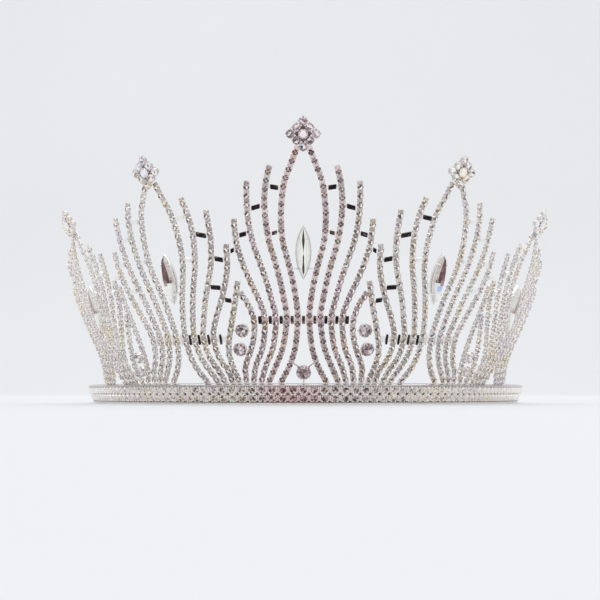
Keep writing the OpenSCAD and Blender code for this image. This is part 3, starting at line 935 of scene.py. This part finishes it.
def make_band():
    """The channel of the band, and its two rows of cups and stones."""
    low = FLOOR_CUT
    front, back, floor = HALF_T, -HALF_T, -HALF_T + 0.5
    edge, lip = 0.12, 0.14
    # Off the surface, up the slant, painted shade of the face that follows
    channel = [
        (front - edge, low, 0), (front, low + edge, 0),
        (front, low + RAIL - edge, 0), (front - lip, low + RAIL, 0.7),
        (floor, low + RAIL, 0.7), (floor, BAND_H - RAIL, 0.45),
        (front - lip, BAND_H - RAIL, 0.35), (front, BAND_H - RAIL + edge, 0.35),
        (front, BAND_H - edge, 0.35), (front - lip, BAND_H, 0.3),
        (back + edge, BAND_H, 0), (back, BAND_H - edge, 0),
        (back, -low + 0.2, 0), (back + 0.05, -low + 0.02, 0)]
    bm = bmesh.new()
    steps = 2 * BAND_LEN
    rings = []
    for i in range(steps + 1):
        s = BAND_LEN * (2 * i / steps - 1)
        ring = [on(s, h, off) for off, h, _ in channel]
        for p in ring:
            p.z = max(0.0, p.z)
        rings.append(ring)
    painted_shade = bm.faces.layers.float.new("shade")
    # Each face takes the painted shade of its place in the channel
    for i, f in enumerate(skin(bm, rings)):
        f[painted_shade] = channel[i % len(channel)][2]
    finished("head_band", rounded(as_mesh(bm, "head_band"), 50), "plated_metal", BRIGHT,
             stands_for="base_band")

    mid = (low + BAND_H) / 2
    end = BAND_LEN - 0.2
    places = [end * (i / 160 - 1) for i in range(321)]
    count = 2 * round(end / BAND_PITCH) + 1
    rows = [even([(on(s, h), out(s)) for s in places], BAND_PITCH, count)
            for h in (mid - ROW_OFF, mid + ROW_OFF)]
    tints_and_painted_light = [[tint_and_painted_light_at(p, PINK_AT) for p, _ in row] for row in rows]
    cups = row_of(rows, tints_and_painted_light, band_cup(), BAND_CUP, luck=0.15)
    finished("band_cups", rounded(cups), "plated_metal", BAND_CUP)
    unit = one_stone("band_stone", 2.5, 8, 0.42, 0.55, core=0.20, edge_tone=0.42, table=0.78)
    stones = row_of(rows, tints_and_painted_light, unit, BAND_STONE, math.pi, 0.06, 0.2, 11)
    finished("band_cut_stones", stones, "small_stones", BAND_STONE, stands_for="band_stones")


# ------------------------------------------------------------ the sprays


def tip_cluster(k, spray):
    """Nine stones in a square that stands on its corner. Their cups go
    into the spray's own metal."""
    a = TIP_PITCH / math.sqrt(2)
    metal, stones = bmesh.new(), bmesh.new()
    dice = random.Random(90 + k)
    for i in (-1, 0, 1):
        for j in (-1, 0, 1):
            spot = (a * (i - j), a * (i + j))
            number = 3 * i + j
            if number == 0:
                d, front = 3.0, TIP_FRONT - 0.45
                looks = dict(luck=0.2, core=0.95, table=0.68)
            else:
                d, front = 2.6, TIP_FRONT - 0.8
                looks = dict(luck=0.15 * math.sin(7 * number + k), core=0.92, wedge=4,
                             turned=dice.uniform(0, 6.28))
            cup(metal, d, TIP_BACK, front, wide=0.36, rise=0.2, centre=spot, turned=0)
            cut_stone(stones, d - 0.08, 8, 0.45, front + 0.02, spot, edge_tone=0.4,
                      seed=40 + 9 * k + number, **looks)
    # A square plate behind closes the gaps round the middle stone; lying deep, it is painted dark
    # as shade.
    reach = a + 0.8
    block(metal, [(x, y, z) for z in (TIP_BACK, TIP_FRONT - 1.35)
                  for x, y in ((0, -reach), (reach, 0), (0, reach), (-reach, 0))])
    shade_by_depth(metal, TIP_FRONT - 0.2, TIP_FRONT - 1.1)
    tint = 0.1 if k == CENTRE else 0.75 if k in (LEFT, RIGHT) else 0.95
    even_tint_and_painted_light(metal, tint)
    even_tint_and_painted_light(stones, tint)
    where = place(spray.at, spray_h(spray, TIP_H))
    # The middle spray's cluster takes the round stones' finish for its painted violet reflection
    finished("tip_cut_stones_" + spray.name, moved(as_mesh(stones, "tip"), where), "small_stones",
             ROUND_STONE if k == CENTRE else STONE, stands_for="tip_stones_" + spray.name)
    return moved(rounded(as_mesh(metal, "tip_cups")), where)


def face_of(spray, side, j, g, facing):
    """Where a bar meets a strand, as a place (s, h). Facing is 1 on the
    strand's outer side and -1 on its inner side."""
    return strand_place(spray, side, j, g) + side * facing * BAR_ROOT, g


def flat_bar(bm, p, q, tall, off, inset, finish, thick=0.6):
    """A flat bar between two places (s, h) of the surface, cut short
    at both ends by inset."""
    p, q = Vector(p), Vector(q)
    step = (q - p).normalized() * inset
    corners = [on(s, h + i * tall / 2, off + j * thick / 2)
               for s, h in (p + step, q - step) for i, j in ((-1, -1), (1, -1), (1, 1), (-1, 1))]
    for f in block(bm, corners):
        f.material_index = finish


# Finish of a bar's plate: pale chain metal, black or brown painted dark reflection
PALE, BLACK, BROWN = 0, 1, 2
# How far the plate ends inside the ends of its bridge
PLATE_INSET = 0.52


def spacer(bm, p, q, tall, finish, far_end=PLATE_INSET):
    """A spacer bar: a plate on a narrow pale bridge that is soldered
    to the strands at both ends. The plate ends far_end inside q."""
    flat_bar(bm, p, q, tall * 0.5, -0.15, 0.0, PALE, 0.3)
    back = (Vector(q) - Vector(p)).normalized() * (PLATE_INSET - far_end)
    flat_bar(bm, p, Vector(q) + back, tall, 0.05, PLATE_INSET, finish)


def waist_piece(bm, p, q, tall, wide, finish):
    """The waist strip between two strands: a plate of its own width
    in the middle of the strip."""
    flat_bar(bm, p, q, tall * 0.6, -0.4, 0.0, PALE, 0.4)
    gap = (Vector(q) - Vector(p)).length
    flat_bar(bm, p, q, tall, -0.15, (gap - wide) / 2, finish)


def looks_dark(k, side):
    """Whether the bars on a side of a spray are painted dark, as dark
    reflections: they are where they face the middle of the tiara."""
    return k == CENTRE or (k, side) in ((LEFT, 1), (RIGHT, -1))


def waist_finish(k, side, j):
    if not looks_dark(k, side):
        return PALE
    return BROWN if k == CENTRE and j == 1 else BLACK


def bar_finish(k, side, j, h):
    if not looks_dark(k, side):
        return PALE
    if k == CENTRE:
        return BROWN if h == LOW_BAR_H else BLACK
    # On these sides three of the four beside the marquises look pale
    return PALE if h == LOW_BAR_H or (k == LEFT and j == 1) else BLACK


def make_bars(k, spray):
    """The waist strip and the spacer bars of a spray, with those that
    reach from it to its outer neighbours and to the near leaves."""
    bm = bmesh.new()
    waist, tall = spray.waist, spray.strip
    wide = 0.82 if k == CENTRE else 0.5
    for side in (-1, 1):
        for j in (1, 2, 3):
            p, q = face_of(spray, side, j, waist, 1), face_of(spray, side, j + 1, waist, -1)
            waist_piece(bm, p, q, tall, wide, waist_finish(k, side, j))
        for a, b, h, long, rise in BARS + (SIDE_BARS if k else []):
            g = spray_h(spray, h)
            p = face_of(spray, side, a, g - rise / 2, 1)
            q = face_of(spray, side, b, g + rise / 2, -1)
            spacer(bm, p, q, long + 0.15, bar_finish(k, side, a, h))
    waist_piece(bm, face_of(spray, -1, 1, waist, -1), face_of(spray, 1, 1, waist, -1), tall, wide,
                BROWN if k == CENTRE else PALE)
    if k == CENTRE:
        inner_h, outer_h = CENTRE_LINK
        for side, other in ((-1, SPRAYS[LEFT]), (1, SPRAYS[RIGHT])):
            end = strand_place(other, -side, 4, outer_h) - side * BAR_REACH
            spacer(bm, face_of(spray, side, 4, inner_h, 1), (end, outer_h), 1.35, BLACK, 0.1)
            leaf_side = side * (leaf_place(NEAR_LEAF, 1, waist) - BAR_REACH)
            waist_piece(bm, face_of(spray, side, 4, waist, 1), (leaf_side, waist), tall, 0.92,
                        BLACK)
    if k in (LEFT, RIGHT):
        inner_h, outer_h = FAR_LINK
        side = -1 if k == LEFT else 1
        end = strand_place(SPRAYS[k + 2], -side, 4, outer_h) - side * BAR_REACH
        spacer(bm, face_of(spray, side, 4, inner_h, 1), (end, outer_h), 1.25, PALE, 0.1)
        leaf_side = side * (leaf_place(NEAR_LEAF, 2, waist) + BAR_REACH)
        waist_piece(bm, face_of(spray, -side, 4, waist, 1), (leaf_side, waist), tall, wide, BLACK)
    even_tint_and_painted_light(bm, 0.1 if k == CENTRE else 0.9)
    finished("spray_%s_bars" % spray.name, as_mesh(bm, "bars"), "plated_metal",
             CHAIN if k == CENTRE else BRIGHT, BLACK_BAR, BROWN_BAR)


def half_width(y, grow=0.0):
    """Half the width of the marquise outline at a height y, with the
    outline grown outwards."""
    x = math.sqrt(max(0.0, (MARQUISE_R + grow) ** 2 - y * y)) - MARQUISE_R + MARQUISE_W / 2
    return max(0.0, x)


def marquise_outline(grow):
    """Corners of the marquise outline grown outwards, from its lower
    tip round by the right."""
    end = math.sqrt((MARQUISE_R + grow) ** 2 - (MARQUISE_R - MARQUISE_W / 2) ** 2)
    ys = [-end * math.cos(math.pi * k / 14) for k in range(15)]
    right = [(half_width(y, grow), y) for y in ys]
    return right + [(-x, y) for x, y in right[-2:0:-1]]


# The painted dark reflection line down the middle of the centre marquise: height, half width
DARK_LINE = [
    (-6.6, 0.0), (-5.6, 0.32), (-4.4, 0.36), (-2.6, 0.20), (-0.9, 0.22), (-0.1, 0.03),
    (0.5, 0.03), (1.6, 0.14), (3.4, 0.38), (5.6, 0.44), (6.9, 0.2), (7.5, 0.0)]

# The front of a marquise has nine columns of facets. On a side one
# each is painted this pale, as reflections, from the outer edge to the
# inner one: below the boundary, well above it, just above it; and the
# boundary's height
SIDE_COLUMNS = [
    (0.90, 0.34, 0.60, -1.9), (0.90, 0.30, 0.60, -1.9), (1.0, 0.27, 0.60, -1.9),
    (1.0, 0.25, 0.56, -1.9), (1.0, 0.28, 0.06, -1.3), (1.0, 0.28, 0.0, -1.3),
    (0.85, 0.66, 0.50, -1.2), (0.90, 0.62, 0.03, -1.1), (0.80, 0.68, 0.50, -1.0)]
# The painted reflection tone of a marquise's back facets
BACK_TONE = 0.7
# The right one has a painted blue glint: its middle height and its half height
GLOW_AT, GLOW_REACH = -2.7, 2.4


def centre_tone(column, y):
    """The centre marquise is painted pale, with a painted dark reflection line down its middle."""
    if column == 4:
        return 0.02
    if column in (2, 6):
        return 0.62 if -3.2 < y < 4.2 else 0.9
    return 0.9 if column in (1, 7) else 0.98


def side_tone(k, column, y):
    """The others are painted as reflections, dark above and white below,
    and change over some height above the boundary."""
    if column >= len(SIDE_COLUMNS):
        return BACK_TONE
    if k in (RIGHT, FAR_RIGHT):
        column = len(SIDE_COLUMNS) - 1 - column
    below, above, at_boundary, boundary = SIDE_COLUMNS[column]
    if y < boundary:
        return below
    t = min(1.0, (y - boundary) / (4.5 if 4 <= column <= 6 else 2.0))
    return at_boundary + (above - at_boundary) * t


def marquise_stone(k, spray):
    """A long pointed stone of narrow facets, with an open back."""
    bm = bmesh.new()
    tone, luck, chance = stone_layers(bm)
    tint = bm.faces.layers.float.new("tint")
    dice = random.Random(70 + k)
    end = MARQUISE_L / 2
    rows = []
    for y in [-end * math.cos(math.pi * i / 26) for i in range(1, 26)]:
        g = half_width(y)
        # Half the width of the flat top, of its bevels and of the line
        t = g * (0.46 if k == CENTRE else 0.58)
        w = min(0.05 if k == CENTRE else 0.1, t / 4)
        dark = min(0.6 * t, smooth(DARK_LINE, y)) if k == CENTRE else 0.04
        rise = min(1.0, (end - abs(y)) / (0.2 * end))
        half = [(dark, 1.06 * rise), (t - w, 1.05 * rise), (t + w, 1.0 * rise),
                ((g + t) / 2, 0.7 * rise), (g, 0.03), (g, -0.08), (g * 0.3, -1.25 * rise)]
        xs = [(-x, z) for x, z in half[4::-1]] + half + [(-x, z) for x, z in half[:4:-1]]
        rows.append([bm.verts.new((x, y, z)) for x, z in xs])
    ends = [bm.verts.new((0, -end, -0.02)), bm.verts.new((0, end, -0.02))]
    n = len(rows[0])

    def facet(corners, column):
        f = bm.faces.new(corners)
        y = f.calc_center_median().y
        f[tone] = centre_tone(column, y) if k == CENTRE else side_tone(k, column, y)
        # The far marquises are painted paler, as light
        if k in (FAR_LEFT, FAR_RIGHT):
            f[tone] = 0.3 + 0.7 * f[tone]
        f[luck] = 0.0
        # The painted blue glint of the right marquise
        glows = k == RIGHT and 2 < column < 6
        f[tint] = 0.9 * max(0.0, 1 - abs(y - GLOW_AT) / GLOW_REACH) if glows else 0.0
        f[chance] = (dice.random(), 0.0, dice.random())

    for a, b in zip(rows, rows[1:]):
        for i in range(n):
            facet((a[i], a[(i + 1) % n], b[(i + 1) % n], b[i]), i)
    for point, row in ((ends[0], rows[0]), (ends[1], rows[-1])):
        for i in range(n):
            facet((point, row[i], row[(i + 1) % n]), i)
    stone = moved(as_mesh(bm, "marquise"), place(spray.at, spray_h(spray, MARQUISE_H)))
    finished("marquise_cut_" + spray.name, stone, "marquise_stones", LONG_STONE,
             stands_for="marquise_stone_" + spray.name)


def marquise_rim(k, spray):
    """The open rim of a marquise, with four claws over the stone and a
    foot at each lower claw towards the strand beside it."""
    bm = bmesh.new()
    inner, mid, outer = marquise_outline(0.06), marquise_outline(0.2), marquise_outline(0.3)
    section = ((inner, -1.5), (outer, -1.5), (outer, -0.25), (mid, -0.12), (inner, -0.2))
    loops = [[(x, y, z) for x, y in line] for line, z in section]
    skin(bm, loops + [loops[0]], close_ends=False)
    bmesh.ops.remove_doubles(bm, verts=bm.verts, dist=1e-5)
    h = spray_h(spray, MARQUISE_H)
    claw_y = MARQUISE_L * CLAW_AT
    claw_x = half_width(claw_y) + 0.35
    bend = [(claw_x, -1.3), (claw_x, -0.3), (claw_x - 0.02, 0.2), (claw_x - 0.22, 0.55),
            (claw_x - 0.6, 0.72)]
    strand_x = spray.wider * strand_w(1, centre_h(spray, h - claw_y))
    reach = max(claw_x + 0.2, strand_x - STRAND_R - 0.3)
    for i in (-1, 1):
        for j in (-1, 1):
            tube(bm, [Vector((i * x, j * claw_y, z)) for x, z in bend],
                 [0.5, 0.5, 0.48, 0.44, 0.36])
        slab(bm, i * (claw_x - 0.1), i * reach, -claw_y - 0.2, -claw_y + 0.2, -0.3, 0.08)
    even_tint_and_painted_light(bm, 0.1 if k == CENTRE else 0.9)
    rim = moved(rounded(as_mesh(bm, "rim"), 50), place(spray.at, h))
    finished("marquise_rim_" + spray.name, rim, "plated_metal", RIM,
             stands_for="marquise_setting_" + spray.name)


def make_spray(k, spray):
    strands = [(even(strand_line(spray, side, j), CHAIN_PITCH),
                DARK_STONES if k == CENTRE and j < 3 else HALF_STONES)
               for side in (-1, 1) for j in (1, 2, 3, 4)]
    ends = prongs([strands[i][0] for i in (1, 2, 3, 5, 6, 7)])
    chains("spray_" + spray.name, strands, [tip_cluster(k, spray), ends], "spray_" + spray.name,
           20 + k)
    make_bars(k, spray)
    marquise_stone(k, spray)
    marquise_rim(k, spray)


# ------------------------------------------------------------ the leaves


def round_cut(name, stands_for, s, h, d, seed, **looks):
    """A round stone of a leaf or of the drop, with an open back."""
    bm = bmesh.new()
    cut_stone(bm, d, 10, d * 0.17, depth=d * 0.28, seed=seed, table=0.66, **looks)
    even_tint_and_painted_light(bm, tint_and_painted_light_at(on(s, h)))
    stone = moved(as_mesh(bm, name), place(s, h))
    finished(name, stone, "round_stones", ROUND_STONE, stands_for=stands_for)


def setting(s, h, d):
    """The cup of a round stone."""
    bm = bmesh.new()
    cup(bm, d, -d * 0.42, 0.0, wide=0.55, rise=0.4, sides=20)
    shade_by_depth(bm, 0.1, -1.2)
    even_tint_and_painted_light(bm, tint_and_painted_light_at(on(s, h)))
    return moved(rounded(as_mesh(bm, "setting")), place(s, h))


def make_leaf(name, table, stones, side, seed, bar_h=None):
    """A leaf of two strands with its two round stones. A near leaf has
    a bar at bar_h to the side spray. The wires to the stones are pale
    in a near leaf and painted dark, as a dark reflection, in a far one."""
    strands = [(even(leaf_line(table, side, j), CHAIN_PITCH), HALF_STONES) for j in (1, 2)]
    bm = bmesh.new()
    for _, s, h, d in stones:
        for j in (1, 2):
            edge = leaf_place(table, j, h)
            reach = math.copysign(d / 2 + 0.05, edge - s)
            bend = ((s + reach * 0.6, -0.9), (s + reach, -0.5), (edge, -0.5))
            tube(bm, [on(side * x, h, off) for x, off in bend], 0.45)
    even_tint_and_painted_light(bm, tint_and_painted_light_at(strands[0][0][0][0]))
    if not bar_h:
        # The far leaf's wires take the black painted dark reflection
        for f in bm.faces:
            f.material_index = BLACK
    extra = [rounded(as_mesh(bm, "wires")), prongs([strands[1][0]])]
    extra += [setting(side * s, h, d) for _, s, h, d in stones]
    chains("leaf_" + name, strands, extra, "leaf_" + name, 30 + seed + side,
           *([] if bar_h else [BLACK_BAR]))
    for number, (which, s, h, d) in enumerate(stones):
        ending = "%s_%s" % (name, which)
        round_cut("leaf_stone_cut_" + ending, "leaf_stone_" + ending, side * s, h, d,
                  60 + 5 * side + number + seed, core=0.45, edge_tone=0.18, wedge=4,
                  turned=1.1 * number - 0.6 * side)
    if bar_h:
        bm = bmesh.new()
        low, high = bar_h - 0.25, bar_h + 0.25
        start = leaf_place(table, 2, low) + BAR_ROOT
        end = strand_place(SPRAYS[RIGHT], -1, 4, high) - BAR_REACH
        spacer(bm, (side * start, low), (side * end, high), 1.3, BLACK, 0.1)
        even_tint_and_painted_light(bm, 0.5)
        finished("leaf_%s_bar" % name, as_mesh(bm, "bar"), "plated_metal", CHAIN, BLACK_BAR)


def make_drop():
    """The drop stone in its cup, on a fork of three thin wires."""
    bm = bmesh.new()
    behind = -DROP_D * 0.4
    fork_h = DROP_H + 2.9
    fork_s = strand_w(1, fork_h) - STRAND_R - 0.15
    for side in (-1, 1):
        tube(bm, [on(side * 0.8, DROP_H + 0.8, behind), on(side * fork_s, fork_h, -0.5)], 0.5)
    tube(bm, [on(0, DROP_H - 0.8, behind), on(0, BAND_H + 0.15, -0.7)], 0.5)
    fork = joined(rounded(as_mesh(bm, "fork")), setting(0, DROP_H, DROP_D))
    finished("drop_fork", fork, "plated_metal", RIM, stands_for="drop_setting")
    round_cut("drop_stone_cut", "drop_stone", 0, DROP_H, DROP_D, 83, core=0.42, edge_tone=0.5)


# ------------------------------------------------------------- the wires


def arc(centre, start, end, r, steps):
    """Places (distance, height) round a centre, angles in degrees."""
    return [on_circle(centre, r, math.radians(start + (end - start) * i / steps))
            for i in range(steps + 1)]


def make_end_wire(name, side):
    """A wire along the inside of the band's end that bends inwards and
    is closed to an upright loop."""
    end_turn = turn(BAND_LEN)
    ahead = along(BAND_LEN)
    start = plan(BAND_LEN) + (WIRE_Z * TAN_FLARE - WIRE_IN) * flat_out(BAND_LEN) + ahead
    centre = start - WIRE_BEND * flat_out(BAND_LEN)

    def bend(t):
        return centre + WIRE_BEND * Vector((math.sin(end_turn + t), -math.cos(end_turn + t), 0))

    e = Vector((math.cos(end_turn + WIRE_TURN), math.sin(end_turn + WIRE_TURN), 0))
    near = bend(WIRE_TURN) + (WIRE_RUN + WIRE_D / 2) * e
    stem = [start - 8 * ahead, start - 4 * ahead]
    stem += [bend(WIRE_TURN * i / 16) for i in range(17)] + [near - 2.2 * e]
    bow = (LOOP_W - WIRE_D) / 2
    straight = LOOP_H - LOOP_W
    low = (LOOP_H - straight) / 2 + 0.05
    ring = arc((-0.8, WIRE_Z - 0.8), 90, 0, 0.8, 5) + arc((bow, low), 180, 360, bow, 14)
    ring += arc((bow, low + straight), 0, 180, bow, 14) + [(0, WIRE_Z + WIRE_D + 0.15)]
    points = [p + Vector((0, 0, WIRE_Z)) for p in stem]
    points += [near + d * e + Vector((0, 0, z)) for d, z in ring]
    bm = bmesh.new()
    tube(bm, [Vector((side * p.x, p.y, p.z)) for p in points], WIRE_D, 12)
    finished("smooth_" + name, rounded(as_mesh(bm, name), 60), "plated_metal", BRIGHT,
             stands_for=name)


def make_pin_loop():
    """A plain wire staple on the inside of the band."""
    foot = PIN_Z * TAN_FLARE - WIRE_IN
    top = foot - PIN_STAND

    def at(s, off):
        return plan(s) + off * flat_out(s) + Vector((0, 0, PIN_Z))

    turns = [math.radians(15 * i) for i in range(7)]
    bends = [(PIN_BEND * (1 - math.cos(t)), top + PIN_BEND * (1 - math.sin(t))) for t in turns]
    path = [at(-PIN_TO, foot)] + [at(-PIN_TO + s, off) for s, off in bends]
    path += [at(-PIN_FROM - s, off) for s, off in bends[::-1]] + [at(-PIN_FROM, foot)]
    bm = bmesh.new()
    tube(bm, path, WIRE_D, 12)
    finished("smooth_pin_loop", rounded(as_mesh(bm, "pin_loop"), 60), "plated_metal", BRIGHT,
             stands_for="pin_loop")


# ----------------------------------------------------- stage and camera

# In metres: how far the floor lies under the tiara, so that the two
# don't share a face, half its width, and its bend up to the wall
UNDER, STAGE_HALF, WALL_BEND = 0.0002, 3.5, 0.8

# The camera that fits the photo, just above the floor: focal length
# and frame in pixels, place in metres, and turn up and to the left
FOCAL, FRAME, SENSOR = 1330, 600, 36
CAMERA_X, CAMERA_AWAY, CAMERA_Z = 0.00255, 0.418, 0.004
LOOK_UP, LOOK_LEFT = 0.0687, 0.0089


def make_stage():
    """A pale floor that runs up into a pale wall."""
    profile = [(-2.5, 0.0), (-0.6, 0.0), (0.3, 0.0), (1.2, 0.0)]
    profile += [(1.2 + WALL_BEND * math.sin(a), WALL_BEND * (1 - math.cos(a)))
                for a in (math.pi / 2 * i / 16 for i in range(1, 17))]
    profile += [(2.0, 3.5)]
    bm = bmesh.new()
    left, right = [[bm.verts.new((x, y, z - UNDER)) for y, z in profile]
                   for x in (-STAGE_HALF, STAGE_HALF)]
    for a in range(len(profile) - 1):
        bm.faces.new((left[a], right[a], right[a + 1], left[a + 1]))
    mesh = bpy.data.meshes.new("floor")
    bm.to_mesh(mesh)
    bm.free()
    floor = in_scene("floor", rounded(mesh, 80))
    m, tree, shader = material("pale_paper", (0.86, 0.87, 0.88), 0.0, 0.9)
    steps = [(0.0, (0.84, 0.85, 0.86)), (1.0, (0.88, 0.89, 0.90))]
    feed(tree, shader, {"Base Color": ramp(tree, steps, noise(tree, 1.2))})
    mesh.materials.append(m)


def make_light(name, where, towards, size, power):
    data = bpy.data.lights.new(name, "AREA")
    data.shape = "RECTANGLE"
    data.size, data.size_y = size
    data.energy = power
    lamp = in_scene(name, data)
    lamp.location = where
    way = Vector(towards) - Vector(where)
    lamp.rotation_euler = way.to_track_quat("-Z", "Y").to_euler()


def make_world():
    world = bpy.data.worlds.new("studio")
    world.use_nodes = True
    back = world.node_tree.nodes["Background"]
    feed(world.node_tree, back, {"Color": (0.97, 0.98, 1.0, 1), "Strength": 0.76})
    bpy.context.scene.world = world


def make_camera():
    data = bpy.data.cameras.new("camera")
    data.sensor_width = SENSOR
    data.lens = FOCAL / FRAME * SENSOR
    data.clip_start = 0.01
    data.clip_end = 20
    camera = in_scene("camera", data)
    camera.location = (CAMERA_X, -CAMERA_AWAY - MID_Y * MM, CAMERA_Z)
    camera.rotation_euler = (math.pi / 2 + LOOK_UP, 0.0, LOOK_LEFT)
    bpy.context.scene.camera = camera


make_camera()
make_stage()
make_world()
make_light("key", (-0.5, -0.9, 1.3), (0, 0, 0.03), (1.2, 1.2), 4)
make_light("fill", (0.9, -0.7, 0.9), (0, 0, 0.03), (0.9, 0.9), 2)
make_light("back", (0.0, 0.9, 1.1), (0, 0, 0.03), (1.4, 0.6), 2)
make_light("wall", (0.0, 0.4, 1.9), (0, 2.0, 0.7), (2.0, 0.6), 7)
bpy.context.scene.view_settings.view_transform = "Standard"

make_band()
for number, one in enumerate(SPRAYS):
    make_spray(number, one)
make_leaf("left", NEAR_LEAF, NEAR_STONES, -1, 0, LEAF_BAR_H)
make_leaf("right", NEAR_LEAF, NEAR_STONES, 1, 0, LEAF_BAR_H)
make_leaf("far_left", FAR_LEAF, FAR_STONES, -1, 2)
make_leaf("far_right", FAR_LEAF, FAR_STONES, 1, 2)
make_drop()
make_end_wire("end_wire_left", -1)
make_end_wire("end_wire_right", 1)
make_pin_loop()
